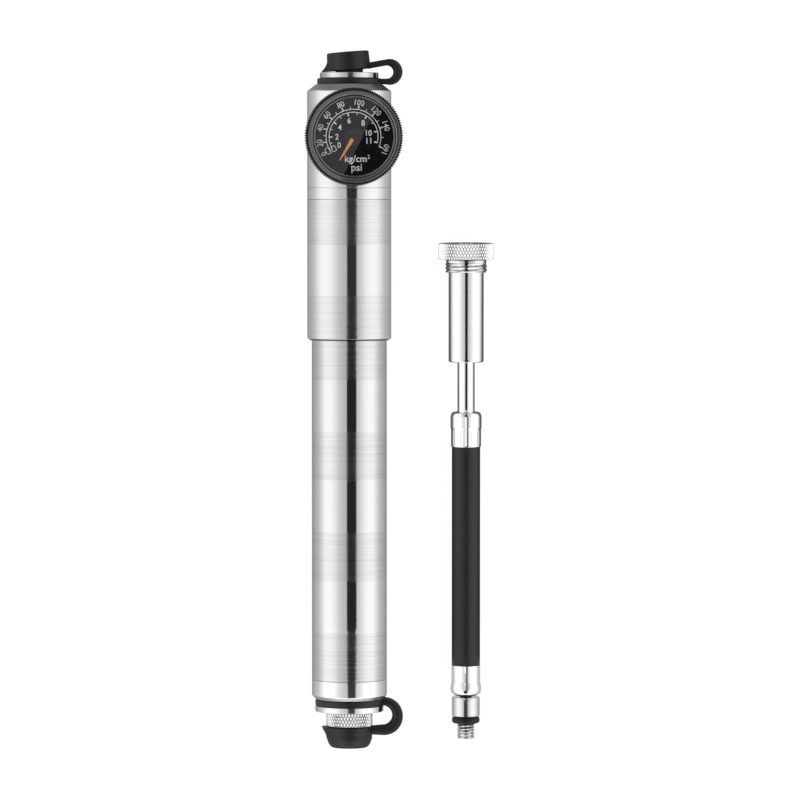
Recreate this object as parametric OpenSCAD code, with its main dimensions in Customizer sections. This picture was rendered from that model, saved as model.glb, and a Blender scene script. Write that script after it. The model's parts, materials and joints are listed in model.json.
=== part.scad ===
// Bicycle mini pump lying on a table, with its loose hose beside it.
//
// The pump's axis runs along +Y with the head and its gauge at the +Y end; the gauge faces up.
// A station is a distance along +Y from the part's origin, and every turned piece is drawn as
// [radius, station] and laid down by along_pump() or along_hose().

/* [Pump tubes] */
// Outer diameter of the head, the collar and the grip sleeve
grip_d = 28; // [28:0.1:30]
// Wall of the grip sleeve and of the collar
grip_wall = 0.9; // [0.7:0.05:0.9]
// Outer diameter of the handle tube, which slides inside the grip sleeve
handle_d = 25; // [24.6:0.1:25]
// Wall of the handle tube
handle_wall = 1.4; // [1:0.1:1.4]
// Outer diameter of the inner cylinder
cylinder_d = 21; // [20.6:0.1:21]
// Wall of the inner cylinder
cylinder_wall = 1; // [0.8:0.1:1.2]
// Outer diameter of the hollow piston rod
rod_d = 14; // [13.6:0.1:14]
// Wall of the piston rod
rod_wall = 0.7; // [0.6:0.05:0.8]
// Radial clearance between pieces that slide on each other
slide_fit = 0.06; // [0.04:0.01:0.08]

/* [Stations along the pump] */
// Top face of the outlet flange
flange_top = 108.7; // [108.5:0.1:109.2]
// Where the head ends and the collar begins
head_end = 70.5; // [70:0.1:71]
// Where the collar ends and the grip sleeve begins
collar_end = 66.7; // [66:0.1:67]
// Lower edge of the grip sleeve
sleeve_end = 19.8; // [18:0.1:24]
// Lower end of the handle tube, where the end cap's band begins
handle_end = -93.5; // [-94:0.1:-93]
// Stroke of the piston
stroke = 130; // [100:1:130]

/* [Head] */
// Radius of the outlet flange
flange_r = 9.85; // [9.5:0.05:10.5]
// Radius at the small end of the head's bevel
bevel_r = 11; // [10.8:0.1:12]
// Length of the bevel
bevel_len = 2.2; // [1.5:0.1:3]
// Width of the groove that holds the top cap's ring
ring_w = 2; // [1.6:0.1:2.4]
// Radius of the outlet's spigot and of the store plug's spigot
spigot_r = 5; // [4.6:0.1:5]
// Length of both spigots
spigot_len = 3; // [2.4:0.1:3]
// Radius of the outlet's threaded bore
outlet_r = 3.05; // [2.9:0.05:3.2]

/* [Gauge] */
// Station of the gauge's centre
gauge_y = 87.25; // [86:0.25:88]
// Outer diameter of the gauge's bezel
gauge_d = 32; // [31:0.1:32]
// How far the gauge is rolled round the pump from straight up
gauge_roll = 5; // [0:1:8]
// Height of the underside of the gauge's case over the pump's axis
gauge_base = 15.2; // [15:0.1:16]
// Height of the gauge
gauge_h = 7.4; // [7.2:0.1:8]
// Radius of the opening in the bezel
window_r = 13.4; // [12.5:0.1:13.6]
// Direction in which the needle points at zero, anticlockwise from +X
needle_rest = 239; // [236:1:242]
// Length of the needle from its axis
needle_len = 9; // [8:0.1:10]

/* [Rubber caps] */
// Radius of the top cap
top_cap_r = 7.05; // [7:0.05:7.2]
// Height of the top cap
top_cap_h = 6; // [5.6:0.1:6.4]
// Tilt of the top cap, whose strap lifts its free side
top_cap_tilt = 4.6; // [0:0.1:5]
// Radius of the bottom cap
bottom_cap_r = 7.65; // [7.4:0.05:7.8]
// Height of the bottom cap
bottom_cap_h = 6.9; // [6.2:0.1:7]
// Radius of the hollow in both caps
cap_bore_r = 6; // [6:0.05:6.2]
// Width of both straps
strap_w = 5; // [4:0.5:6]

/* [Hose] */
// Distance from the pump's axis to the hose's axis
hose_gap = 39; // [36:0.5:45]
// Outer diameter of the rubber hose
hose_d = 9.5; // [9:0.1:9.5]
// Station of the top of the hose's rubber, under its upper ferrule's crimp
hose_top = -10; // [-12:0.5:-10]
// Station of the bottom of the hose's rubber, inside its lower ferrule
hose_bottom = -95.5; // [-96:0.5:-95]
// Radius of the chuck's knurled head
chuck_head_r = 9.25; // [9:0.05:9.5]
// Radius of the chuck's sleeve
chuck_r = 6.05; // [6:0.05:6.2]
// Radius of the collar thread under the chuck's knurled head
collar_thread_r = 7.05; // [6.9:0.05:7.1]
// Radius of the chuck's threaded socket for the valve
socket_r = 3.95; // [3.8:0.05:4]
// Radius of the thread at the hose's free end, which screws into the outlet
tip_thread_r = 3; // [2.9:0.05:3]

/* [Hidden] */
$fn = 96;

alloy = "silver";
steel = "slategray";
black_alloy = [0.2, 0.2, 0.21];
rubber = [0.12, 0.12, 0.12];
plastic = "dimgray";
brass = "goldenrod";

// Radii of the pump's tubes, from the outside in
grip_r = grip_d / 2;
sleeve_in = grip_r - grip_wall;
handle_r = handle_d / 2;
handle_in = handle_r - handle_wall;
cylinder_r = cylinder_d / 2;
cylinder_in = cylinder_r - cylinder_wall;
rod_r = rod_d / 2;
rod_in = rod_r - rod_wall;

// The loops of the straps reach further to +X than the barrel does to -X, so the pump's axis
// stands off the origin to centre the pump on it.
pump_x = -1.7;
axis_z = grip_r;

// Stations of the head, from the outlet down
flange_h = 1.8;
groove_top = flange_top - flange_h;
groove_bottom = groove_top - ring_w;
bevel_bottom = groove_bottom - bevel_len;
groove_r = 8.6;
spigot_top = flange_top + spigot_len;
spigot_chamfer = 0.6;
socket_bottom = 60;
socket_top = 80;
seat_bottom = 75.5;
chamber_r = 3.2;
chamber_top = 88;
passage_r = 1.3;
boss_r = 9.5;
stem_r = 3.5;
stem_base = 9;
head_seal_y = 73;
head_seal_r = 0.53;
head_seal_groove = 0.56;

// Stations of the cylinder, its gland, the handle and the end cap
cylinder_bottom = -82;
gland_bottom = -85;
gland_top = -74;
gland_flange_r = 10.9;
wiper_y = -79;
wiper_r = 0.6;
handle_top = 58;
guide_bottom = cylinder_bottom + stroke + 0.5;
guide_h = 8;
band_end = handle_end - 5.2;
end_bevel_r = 11.2;
end_groove_top = band_end - 1.4;
end_groove_bottom = end_groove_top - 2.2;
end_groove_r = 9.4;
end_flange_r = 11.4;
end_flange_bottom = end_groove_bottom - 1.8;
end_spigot_top = handle_end + 6;
bumper_h = 2;
rod_bottom = -98.5;
rod_top = 62;
knurl_r = 7.7;
knurl_bottom = end_flange_bottom - 5.1;
plug_thread_top = end_flange_bottom + 5;
plug_spigot_end = knurl_bottom - spigot_len;

// Stations of the piston
piston_bottom = 62.2;
piston_top = 74;
piston_groove_r = 7.2;
piston_groove = [66.6, 69.4];
seal_r = 1.05;
stem_pin_r = 3;
stem_pin_bottom = 56.4;
clip_y = 57;
clip_h = 0.8;
bush_bottom = 58;
fit = 0.05;

// Heights in the gauge, over the pump's axis along the gauge's own axis
gauge_r = gauge_d / 2;
gauge_top = gauge_base + gauge_h;
case_r = 15.2;
case_in = 13.9;
case_back = 1.2;
dial_z = gauge_base + 2.8;
dial_t = 0.4;
case_rim = gauge_base + 5.2;
gasket_t = 0.4;
lens_top = gauge_top - 1;
hub_z = dial_z + dial_t + 0.3;
hub_t = 0.6;
needle_t = 0.35;
hub_r = 2.9;
arbor_r = 0.5;
coil_z = gauge_base + 1.5;
stop_pin_r = 0.3;

// Outlines of the straps' bends in the row's XY plane, from the pump's axis
top_bend_out = [13.48, 108.95];
top_bend_out_r = 4.3;
top_bend_in = [12.46, 108.9];
top_bend_in_r = 2.2;
bottom_bend_out = [11.6, -105.9];
bottom_bend_out_r = 6.3;
bottom_bend_in = [11, -105.5];
bottom_bend_in_r = 3.3;
strap_gap = 0.08;
ring_r = 10.7;

// The hose assembly rests on its knurled head and on its lower ferrule's bulge
head_foot = 46.8;
bulge_foot = -98;
bulge_r = 5.2;
hose_tilt = asin((chuck_head_r - bulge_r) / (head_foot - bulge_foot));
table_gap = 0.02;
hose_z = chuck_head_r * cos(hose_tilt) + table_gap - head_foot * sin(hose_tilt);
hose_x = pump_x + hose_gap;
hose_r = hose_d / 2;

// Stations of the hose assembly's pieces
chuck_top = 52;
collar_top = 45.8;
thread_top = 45.5;
thread_bottom = 42.3;
chuck_bottom = 12.3;
socket_floor = 40;
slider_top = 15.7;
chuck_cavity_r = 4.9;
stem_out = 2.9;
stem_bore = 1.4;
stem_top = 20;
stem_bottom = -14;
crimp_y = -9.8;
upper_ferrule_bottom = -16;
upper_ferrule_top = -4.3;
lower_ferrule_top = -89.6;
lower_ferrule_bottom = -99.7;
tip_top = -100.5;
tip_bottom = -106.9;
tip_end = -114.4;
tip_seal_bottom = -109.3;
relief_r = 2.5;
tip_r = 4.75;
oring_r = 3.88;
oring_wire_r = 0.8;
oring_y = -108.05;
barb_r = 1.95;
barb_bore = 0.9;
hose_bore = 3;

module along_pump() translate([pump_x, 0, axis_z]) rotate([-90, 0, 0]) children();

module along_hose() translate([hose_x, 0, hose_z]) rotate([hose_tilt - 90, 0, 0]) children();

module at_gauge() translate([pump_x, gauge_y, axis_z]) rotate([0, gauge_roll, 0]) children();

// A flat outline in the row's XY plane, extruded across the pump's axis
module across_pump(width)
    translate([pump_x, 0, axis_z - width / 2]) linear_extrude(width) children();

module turned(outline) rotate_extrude() polygon(outline);

module ring(r_in, r_out, from, to) rotate_extrude() translate([r_in, from]) square([r_out - r_in, to - from]);

module bar(r, from, to) translate([0, 0, from]) cylinder(r = r, h = to - from);

module o_ring(middle_r, wire_r, at) rotate_extrude() translate([middle_r, at]) circle(r = wire_r, $fn = 32);

// A helical spring of round wire: every ring of points is one step along the coil
module coil_spring(coil_r, wire_r, from, to, turns) {
    steps = turns * 16;
    sides = 8;
    points = [for (i = [0:steps]) for (j = [0:sides - 1])
        let (turn = i * 22.5, side = j * 360 / sides, r = coil_r + wire_r * cos(side))
        let (rise = (to - from - 2 * wire_r) * i / steps)
        [r * cos(turn), r * sin(turn), from + wire_r + rise + wire_r * sin(side)]];
    walls = [for (i = [0:steps - 1]) for (j = [0:sides - 1])
        let (next = (j + 1) % sides)
        [i * sides + j, (i + 1) * sides + j, (i + 1) * sides + next, i * sides + next]];
    first_end = [for (j = [0:sides - 1]) j];
    last_end = [for (j = [sides - 1:-1:0]) steps * sides + j];
    polyhedron(points = points, faces = concat(walls, [first_end, last_end]));
}

// ---- Head and cylinder ----

module head_body() color(alloy) difference() {
    union() {
        along_pump() turned([
            [0, socket_bottom], [sleeve_in, socket_bottom], [sleeve_in, head_end], [grip_r, head_end],
            [grip_r, bevel_bottom], [bevel_r, groove_bottom], [0, groove_bottom]
        ]);
        at_gauge() bar(boss_r, 8, gauge_base);
    }
    along_pump() {
        bar(cylinder_r, socket_bottom - 1, socket_top);
        ring(cylinder_r - 0.5, cylinder_r + 2 * head_seal_groove,
            head_seal_y - head_seal_groove, head_seal_y + head_seal_groove);
        bar(chamber_r, socket_top - 1, chamber_top);
        bar(passage_r, chamber_top - 1, groove_bottom + 1);
    }
    at_gauge() {
        bar(stem_r, stem_base, gauge_base + 1);
        bar(passage_r, 0, stem_base + 1);
    }
}

// The flanged outlet on the head's end face; its neck is the floor of the top cap's groove
module outlet_fitting() color(alloy) along_pump() turned([
    [outlet_r, groove_bottom], [groove_r, groove_bottom], [groove_r, groove_top], [flange_r, groove_top],
    [flange_r, flange_top], [spigot_r, flange_top], [spigot_r, spigot_top - spigot_chamfer],
    [spigot_r - spigot_chamfer, spigot_top], [outlet_r, spigot_top]
]);

module collar_ring() color(alloy) along_pump() ring(sleeve_in, grip_r, collar_end, head_end);

module grip_sleeve() color(alloy) along_pump() ring(sleeve_in, grip_r, sleeve_end, collar_end);

module sleeve_guide() color(plastic) along_pump()
    ring(handle_r + slide_fit, sleeve_in, sleeve_end + 1.8, sleeve_end + 5.8);

module cylinder_tube() color(alloy) along_pump() ring(cylinder_in, cylinder_r, cylinder_bottom, socket_top);

module gland_nut() color(black_alloy) along_pump() difference() {
    turned([
        [rod_r + slide_fit, gland_bottom], [gland_flange_r, gland_bottom], [gland_flange_r, cylinder_bottom],
        [cylinder_in, cylinder_bottom], [cylinder_in, gland_top], [rod_r + slide_fit, gland_top]
    ]);
    ring(rod_r, rod_r + 2 * wiper_r + slide_fit, wiper_y - wiper_r, wiper_y + wiper_r);
}

module rod_wiper() color(rubber) along_pump() o_ring(rod_r + slide_fit + wiper_r, wiper_r - 0.03, wiper_y);

module valve_seat() color(brass) along_pump() ring(passage_r, cylinder_in, seat_bottom, socket_top);

module head_seal() color(rubber) along_pump()
    o_ring(cylinder_r + head_seal_r + 0.02, head_seal_r, head_seal_y);

module valve_poppet() color(rubber) along_pump() {
    bar(chamber_r - 0.3, socket_top + 0.05, socket_top + 2);
    bar(1, socket_top + 2, socket_top + 3.2);
}

module valve_spring() color(steel) along_pump()
    coil_spring(1.8, 0.25, socket_top + 2.05, chamber_top - 0.05, 4);

// ---- Gauge ----

module gauge_stem() color(brass) at_gauge() ring(0.8, stem_r, stem_base, gauge_base + case_back);

module gauge_case() color(black_alloy) at_gauge() turned([
    [stem_r, gauge_base], [case_r, gauge_base], [case_r, case_rim], [case_in, case_rim],
    [case_in, dial_z], [case_in - 1, dial_z], [case_in - 1, gauge_base + case_back],
    [stem_r, gauge_base + case_back]
]);

module gauge_bezel() color(black_alloy) at_gauge() turned([
    [case_r, gauge_base + 1.8], [gauge_r, gauge_base + 1.8], [gauge_r, gauge_top - 0.5],
    [gauge_r - 0.5, gauge_top], [window_r + 0.4, gauge_top], [window_r, gauge_top - 0.4],
    [window_r, lens_top], [case_r, lens_top]
]);

module gauge_gasket() color(rubber) at_gauge() ring(case_in, case_r - 0.05, case_rim, case_rim + gasket_t);

module gauge_lens() color([0.8, 0.9, 0.9, 0.3]) at_gauge() bar(case_r - 0.05, case_rim + gasket_t, lens_top);

module gauge_dial() color(black_alloy) at_gauge() ring(arbor_r + fit, case_in, dial_z, dial_z + dial_t);

// The pin that the needle rests against, just behind the zero mark
module gauge_stop_pin() color(steel) at_gauge()
    rotate(needle_rest + 8) translate([7, 0, 0]) bar(stop_pin_r, dial_z + dial_t, hub_z + hub_t + needle_t);

// A coiled flat tube that unwinds under pressure; its outer end is fed by the stem
module bourdon_coil() color(brass) at_gauge() {
    for (r = [5, 7, 9]) ring(r, r + 0.6, coil_z, coil_z + 0.9);
    for (turn = [0, 120, 240]) rotate(turn) translate([2, -0.4, coil_z]) cube([7.6, 0.8, 0.9]);
    ring(arbor_r + fit, 2.2, coil_z, coil_z + 0.9);
}

module needle_arbor() color(steel) at_gauge() bar(arbor_r, coil_z - 0.2, hub_z);

module needle_hub() color(black_alloy) at_gauge() {
    bar(hub_r, hub_z, hub_z + hub_t);
    bar(0.6, hub_z + hub_t, hub_z + hub_t + needle_t);
}

module needle() color("darkorange") at_gauge() rotate(needle_rest)
    translate([0, 0, hub_z + hub_t]) linear_extrude(needle_t)
        polygon([[0.75, -0.55], [1.4, -0.6], [needle_len, -0.2], [needle_len, 0.2], [1.4, 0.6], [0.75, 0.55]]);

// ---- Top cap ----

// The cap's own frame: +Z out of the outlet, tilted about the free edge of its pull tab
tab_reach = 9.4;
module at_top_cap() translate([pump_x - tab_reach, flange_top + 0.15, axis_z]) rotate([0, 0, top_cap_tilt])
    translate([tab_reach, 0, 0]) rotate([-90, 0, 0]) children();

module top_cap_ring() color(rubber) along_pump() ring(groove_r, ring_r, groove_bottom, groove_top);

module top_cap_strap() color(rubber) difference() {
    across_pump(strap_w) difference() {
        union() {
            translate(top_bend_out) circle(r = top_bend_out_r);
            translate([groove_r, groove_bottom]) square([top_bend_out[0] - groove_r, 1.85]);
            translate([top_bend_out[0], 112.2]) rotate(9) translate([-9, -1.05]) square([9, 2.1]);
        }
        translate(top_bend_in) circle(r = top_bend_in_r);
        translate([groove_r, groove_bottom + 1.85]) square([top_bend_in[0] - groove_r, 3.3]);
        translate([top_bend_in[0], 111.1]) rotate(9) translate([-9, -3]) square([9, 3]);
    }
    along_pump() bar(ring_r, groove_bottom - 1, flange_top);
    at_top_cap() bar(top_cap_r + strap_gap, -1, top_cap_h + 1);
}

module top_cap() color(rubber) at_top_cap() difference() {
    union() {
        turned([
            [0, 0], [top_cap_r, 0], [top_cap_r, top_cap_h / 2],
            [top_cap_r - 0.2, top_cap_h - 0.5], [top_cap_r - 0.7, top_cap_h], [0, top_cap_h]
        ]);
        intersection() {
            turned([
                [5, 0], [tab_reach, 0], [tab_reach - 0.1, 0.5], [8, 1.3], [7.3, 2.3], [top_cap_r, 3.4], [5, 3.4]
            ]);
            translate([-10, -3.5, -1]) cube([10, 7, 6]);
        }
    }
    bar(cap_bore_r, -1, top_cap_h - 1.4);
}

// ---- Piston ----

module piston_head() color(alloy) along_pump() turned([
    [0, stem_pin_bottom], [stem_pin_r, stem_pin_bottom], [stem_pin_r, piston_bottom],
    [cylinder_in - 0.1, piston_bottom], [cylinder_in - 0.1, piston_groove[0]],
    [piston_groove_r, piston_groove[0]], [piston_groove_r, piston_groove[1]],
    [cylinder_in - 0.1, piston_groove[1]], [cylinder_in - 0.1, piston_top], [0, piston_top]
]);

module piston_seal() color(rubber) along_pump()
    o_ring(cylinder_in - fit - seal_r, seal_r, (piston_groove[0] + piston_groove[1]) / 2);

module piston_clip() color(steel) along_pump() ring(stem_pin_r, 5, clip_y, clip_y + clip_h);

module rod_bush() color(brass) along_pump() ring(stem_pin_r + fit, rod_in, bush_bottom, rod_top);

module piston_rod() color(steel) along_pump() ring(rod_in, rod_r, rod_bottom, rod_top);

// ---- Handle ----

module handle_tube() color(alloy) along_pump() ring(handle_in, handle_r, handle_end, handle_top);

module handle_guide() color(plastic) along_pump()
    ring(cylinder_r + slide_fit, handle_in, guide_bottom, guide_bottom + guide_h);

module end_cap() color(alloy) along_pump() turned([
    [rod_r, end_flange_bottom], [end_flange_r, end_flange_bottom], [end_flange_r, end_groove_bottom],
    [end_groove_r, end_groove_bottom], [end_groove_r, end_groove_top], [end_bevel_r, end_groove_top],
    [handle_r, band_end], [handle_r, handle_end], [handle_in, handle_end], [handle_in, end_spigot_top],
    [rod_r, end_spigot_top]
]);

module stroke_bumper() color(rubber) along_pump()
    ring(rod_r, handle_in - 0.6, end_spigot_top, end_spigot_top + bumper_h);

module store_plug() color(alloy) along_pump() turned([
    [0, plug_spigot_end], [spigot_r - spigot_chamfer, plug_spigot_end],
    [spigot_r, plug_spigot_end + spigot_chamfer], [spigot_r, knurl_bottom], [knurl_r, knurl_bottom],
    [knurl_r, end_flange_bottom], [rod_r, end_flange_bottom], [rod_r, plug_thread_top], [0, plug_thread_top]
]);

// ---- Bottom cap ----

module bottom_cap_ring() color(rubber) along_pump()
    ring(end_groove_r, end_flange_r, end_groove_bottom, end_groove_top);

module bottom_cap_strap() color(rubber) difference() {
    across_pump(strap_w) difference() {
        union() {
            translate(bottom_bend_out) circle(r = bottom_bend_out_r);
            translate([end_groove_r, end_groove_bottom]) square([bottom_bend_out[0] - end_groove_r, 2.6]);
            translate([5, -112.2]) square([bottom_bend_out[0] - 5, 3.4]);
        }
        translate(bottom_bend_in) circle(r = bottom_bend_in_r);
        translate([5, -108.8]) square([bottom_bend_in[0] - 5, 6.55]);
    }
    along_pump() {
        bar(end_flange_r, end_groove_bottom - 3, end_groove_top);
        bar(handle_r + fit, end_groove_top, handle_end);
        bar(bottom_cap_r + 0.25 + strap_gap, knurl_bottom - bottom_cap_h, knurl_bottom + 1);
    }
}

// The cap's own frame: +Z away from the handle
module at_bottom_cap() along_pump() translate([0, 0, knurl_bottom - 0.2]) mirror([0, 0, 1]) children();

module bottom_cap() color(rubber) at_bottom_cap() difference() {
    union() {
        turned([
            [0, 0], [bottom_cap_r + 0.25, 0], [bottom_cap_r + 0.25, 2.3], [bottom_cap_r, 2.6],
            [bottom_cap_r, bottom_cap_h - 1.7], [bottom_cap_r - 0.5, bottom_cap_h - 0.5],
            [bottom_cap_r - 1.7, bottom_cap_h], [0, bottom_cap_h]
        ]);
        intersection() {
            turned([
                [5, 0], [tab_reach - 0.1, 0], [tab_reach - 0.1, 0.5], [8.4, 1.4], [bottom_cap_r, 2.4], [5, 2.4]
            ]);
            translate([-10, -3.5, -1]) cube([10, 7, 6]);
        }
    }
    bar(cap_bore_r, -1, bottom_cap_h - 1.6);
}

// ---- Hose ----

module hose_tube() color(rubber) along_hose() ring(hose_bore, hose_r, hose_bottom, hose_top);

module upper_ferrule() color(alloy) along_hose() turned([
    [hose_r, upper_ferrule_bottom], [5, upper_ferrule_bottom], [5, crimp_y], [bulge_r, crimp_y + 0.4],
    [bulge_r, -5.9], [4.9, -5], [3.7, upper_ferrule_top], [stem_out, upper_ferrule_top],
    [stem_out, hose_top], [hose_r, hose_top]
]);

module chuck_stem() color(steel) along_hose() turned([
    [stem_bore, stem_bottom], [stem_out, stem_bottom], [stem_out, stem_top], [stem_bore, stem_top]
]);

// The stop screwed on the stem's end, which keeps the sleeve on and carries the gasket
module stem_plug() color(brass) along_hose() turned([
    [stem_out, slider_top + 0.2], [4.4, slider_top + 0.2], [4.4, 22.4], [1.2, 22.4], [1.2, stem_top],
    [stem_out, stem_top]
]);

module valve_gasket() color(rubber) along_hose() ring(1.2, 3.7, 22.4, 25);

// The pin that opens a valve's core, held by a cross in the stem's bore
module valve_pin() color(brass) along_hose() {
    bar(0.6, stem_top - 1, 28);
    intersection() {
        bar(stem_bore, stem_top - 2, stem_top - 1);
        union() {
            translate([-2, -0.3, stem_top - 2]) cube([4, 0.6, 1]);
            translate([-0.3, -2, stem_top - 2]) cube([0.6, 4, 1]);
        }
    }
}

module chuck_oring() color(rubber) along_hose() o_ring(stem_out + 0.51, 0.45, 14.2);

module chuck_sleeve() color(alloy) along_hose() difference() {
    turned([
        [0, chuck_bottom], [chuck_r, chuck_bottom], [chuck_r, thread_bottom],
        [collar_thread_r, thread_bottom], [collar_thread_r, thread_top], [6.75, thread_top],
        [6.75, head_foot], [chuck_head_r, head_foot], [chuck_head_r, chuck_top], [0, chuck_top]
    ]);
    bar(stem_out + slide_fit, chuck_bottom - 1, slider_top + 1);
    ring(stem_out - 0.5, stem_out + 1.05, 13.6, 14.8);
    bar(chuck_cavity_r, slider_top, socket_floor);
    bar(socket_r, socket_floor - 1, chuck_top + 1);
}

module lower_ferrule() color(alloy) along_hose() turned([
    [hose_r, lower_ferrule_top], [4.8, lower_ferrule_top], [4.8, -96.3], [bulge_r, -97.5],
    [bulge_r, bulge_foot], [4.8, -99], [3.9, lower_ferrule_bottom], [barb_r, lower_ferrule_bottom],
    [barb_r, hose_bottom], [hose_r, hose_bottom]
]);

module tip_barb() color(brass) along_hose() {
    ring(barb_bore, barb_r, -104.3, -81);
    ring(barb_r, hose_bore, -95, -83);
    ring(barb_r, 3, -104.3, -103.1);
}

module tip_fitting() color(alloy) along_hose() difference() {
    turned([
        [0, tip_end], [tip_thread_r, tip_end], [tip_thread_r, tip_seal_bottom], [relief_r, tip_seal_bottom],
        [relief_r, tip_bottom], [tip_r - 0.3, tip_bottom],
        [tip_r, tip_bottom + 0.3], [tip_r, tip_top - 0.3], [tip_r - 0.3, tip_top], [0, tip_top]
    ]);
    bar(barb_r + fit, -103.1, tip_top + 1);
    bar(3.1, -104.7, -102.9);
    bar(1.1, tip_end - 1, -104.1);
}

module tip_oring() color(rubber) along_hose() rotate_extrude() translate([oring_r, oring_y]) {
    for (end = [-0.3, 0.3]) translate([0, end]) circle(r = oring_wire_r, $fn = 32);
    translate([relief_r + 0.02 - oring_r, -1.05]) square([oring_r - relief_r, 2.1]);
    square([2 * oring_wire_r, 0.6], center = true);
}

head_body();
outlet_fitting();
collar_ring();
grip_sleeve();
sleeve_guide();
cylinder_tube();
gland_nut();
rod_wiper();
valve_seat();
head_seal();
valve_poppet();
valve_spring();
gauge_stem();
gauge_case();
gauge_bezel();
gauge_gasket();
gauge_lens();
gauge_dial();
gauge_stop_pin();
bourdon_coil();
needle_arbor();
needle_hub();
needle();
top_cap_ring();
top_cap_strap();
top_cap();
piston_head();
piston_seal();
piston_clip();
rod_bush();
piston_rod();
handle_tube();
handle_guide();
end_cap();
stroke_bumper();
store_plug();
bottom_cap_ring();
bottom_cap_strap();
bottom_cap();
hose_tube();
upper_ferrule();
chuck_stem();
stem_plug();
valve_gasket();
valve_pin();
chuck_oring();
chuck_sleeve();
lower_ferrule();
tip_barb();
tip_fitting();
tip_oring();
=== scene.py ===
import json
import math
import random

import bmesh
import bpy
from mathutils import Matrix, Vector


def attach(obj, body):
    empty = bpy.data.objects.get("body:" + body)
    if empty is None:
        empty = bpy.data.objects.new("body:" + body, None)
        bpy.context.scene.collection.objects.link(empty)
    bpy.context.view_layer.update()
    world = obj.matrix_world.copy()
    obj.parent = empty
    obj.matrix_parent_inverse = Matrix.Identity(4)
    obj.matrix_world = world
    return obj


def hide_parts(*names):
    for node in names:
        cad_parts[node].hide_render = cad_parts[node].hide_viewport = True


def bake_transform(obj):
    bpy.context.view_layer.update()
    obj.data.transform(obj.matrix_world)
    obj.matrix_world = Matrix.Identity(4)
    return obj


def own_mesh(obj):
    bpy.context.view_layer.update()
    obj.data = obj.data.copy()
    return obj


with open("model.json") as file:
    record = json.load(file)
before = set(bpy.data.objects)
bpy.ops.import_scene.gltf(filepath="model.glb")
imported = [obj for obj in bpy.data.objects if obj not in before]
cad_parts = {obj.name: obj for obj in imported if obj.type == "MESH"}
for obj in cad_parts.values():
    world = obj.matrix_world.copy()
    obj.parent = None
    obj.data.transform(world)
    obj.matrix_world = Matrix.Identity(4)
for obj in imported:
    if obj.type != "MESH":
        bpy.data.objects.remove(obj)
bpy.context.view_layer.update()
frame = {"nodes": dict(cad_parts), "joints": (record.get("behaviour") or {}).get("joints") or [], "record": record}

MM = 0.001
SHARP = math.radians(34)
SEED = 7
dice = random.Random(SEED)


# ---- Axes taken from the frame's joints ----

def axis_frame(point, direction):
    """Takes millimetres, with the axis as local Z, to metres in the row frame."""
    turn = Vector((0, 0, 1)).rotation_difference(Vector(direction))
    return Matrix.Translation(point) @ turn.to_matrix().to_4x4() @ Matrix.Scale(MM, 4)


joints = {joint["name"]: joint for joint in frame["joints"]}
PUMP = axis_frame(joints["handle_spin"]["pos_m"], joints["handle_spin"]["axis"])
GAUGE = axis_frame(joints["needle_sweep"]["pos_m"], -Vector(joints["needle_sweep"]["axis"]))
HOSE = axis_frame(joints["chuck_spin"]["pos_m"], joints["chuck_spin"]["axis"])
pump_at = PUMP.translation
hose_at = HOSE.translation


# ---- Camera, light and stage ----

CAMERA_OVER = Vector((0.0152, 0.0698, 1.714))
CAMERA_AIM = Vector((0.0152, -0.0002, 0.014))
CAMERA_LENS, SENSOR, CLIP_END = 229.7, 36, 20
WHITE = (1, 1, 1, 1)
# How bright the studio is towards either side, by the angle from straight up, in degrees
STUDIO = [(0, 0.9), (16, 1.0), (30, 1.22), (42, 1.58), (51, 1.83), (64, 1.97), (76, 1.94), (84, 1.86),
          (90, 1.76)]
STUDIO_SLOPE = 0.45
# The table: how white it is to the light, and to the eye how much it glows and how much it shades
FLOOR_SIZE, FLOOR_WHITE, FLOOR_GLOW, FLOOR_SHADE = 6.0, 0.9, 0.93, 0.1
# How bright the cards beside the pieces are, by the height over the table, in millimetres
PUMP_SIDE = [(0, 0.4), (8, 0.58), (11, 0.72), (15, 0.87), (18, 1.03), (20, 1.24), (22, 1.5), (24.3, 1.76)]
HOSE_SIDE = [(0, 0.16), (4, 0.5), (7.7, 1.15), (10.5, 1.5), (13.5, 1.8), (16.5, 1.93), (20.6, 1.83)]
TIP_SIDE = [(0, 0.7), (4, 1.0), (7.7, 1.35), (10.5, 1.6)] + HOSE_SIDE[4:]
CARD_FOOT = 0.0003
# How far from its piece's axis each of them stands, and where it begins and ends along the row. The
# hose's are graded in one way beside the fitting and in another from HOSE_SPLIT on
PUMP_CARD, HOSE_CARD = 0.0195, 0.018
PUMP_NEAR, PUMP_FAR = -0.26, 0.118
TIP_NEAR, HOSE_SPLIT, HOSE_FAR = -0.3, -0.0885, 0.07
# Cards that lie between them, as (height, level)
PUMP_FLOOR, HOSE_FLOOR, TIP_FLOOR = (0.0004, 0.4), (0.0004, 0.16), (0.0004, 0.7)
# Flags on the table beyond the head, which darken the head's bevel, more so on its right
FLAG_NEAR, FLAG_HALF = 0.106, 0.3
BEVEL_FLAG_FAR, BEVEL_FLAG = 0.6, (0.0005, 0.3)
RIGHT_FLAG_FAR, RIGHT_FLAG_EDGE, RIGHT_FLAG = 0.126, 0.0125, (0.0008, 0.04)
# The gap between the overhead soft boxes, which draws the dark stripe on every turned piece: where
# each part of it begins along the row, its left and right edge from the pump's axis, its level
GAP_HEIGHT, GAP_REACH = 0.45, 0.6
GAP_PARTS = [
    (-GAP_REACH, -0.030, 0.152, 0.085),
    (-0.1345, -0.054, 0.179, 0.03),
    (0.0073, -0.042, 0.161, 0.05),
    (0.0659, -0.051, 0.185, 0.035),
    (0.112, -0.033, 0.12, 0.05),
]
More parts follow.
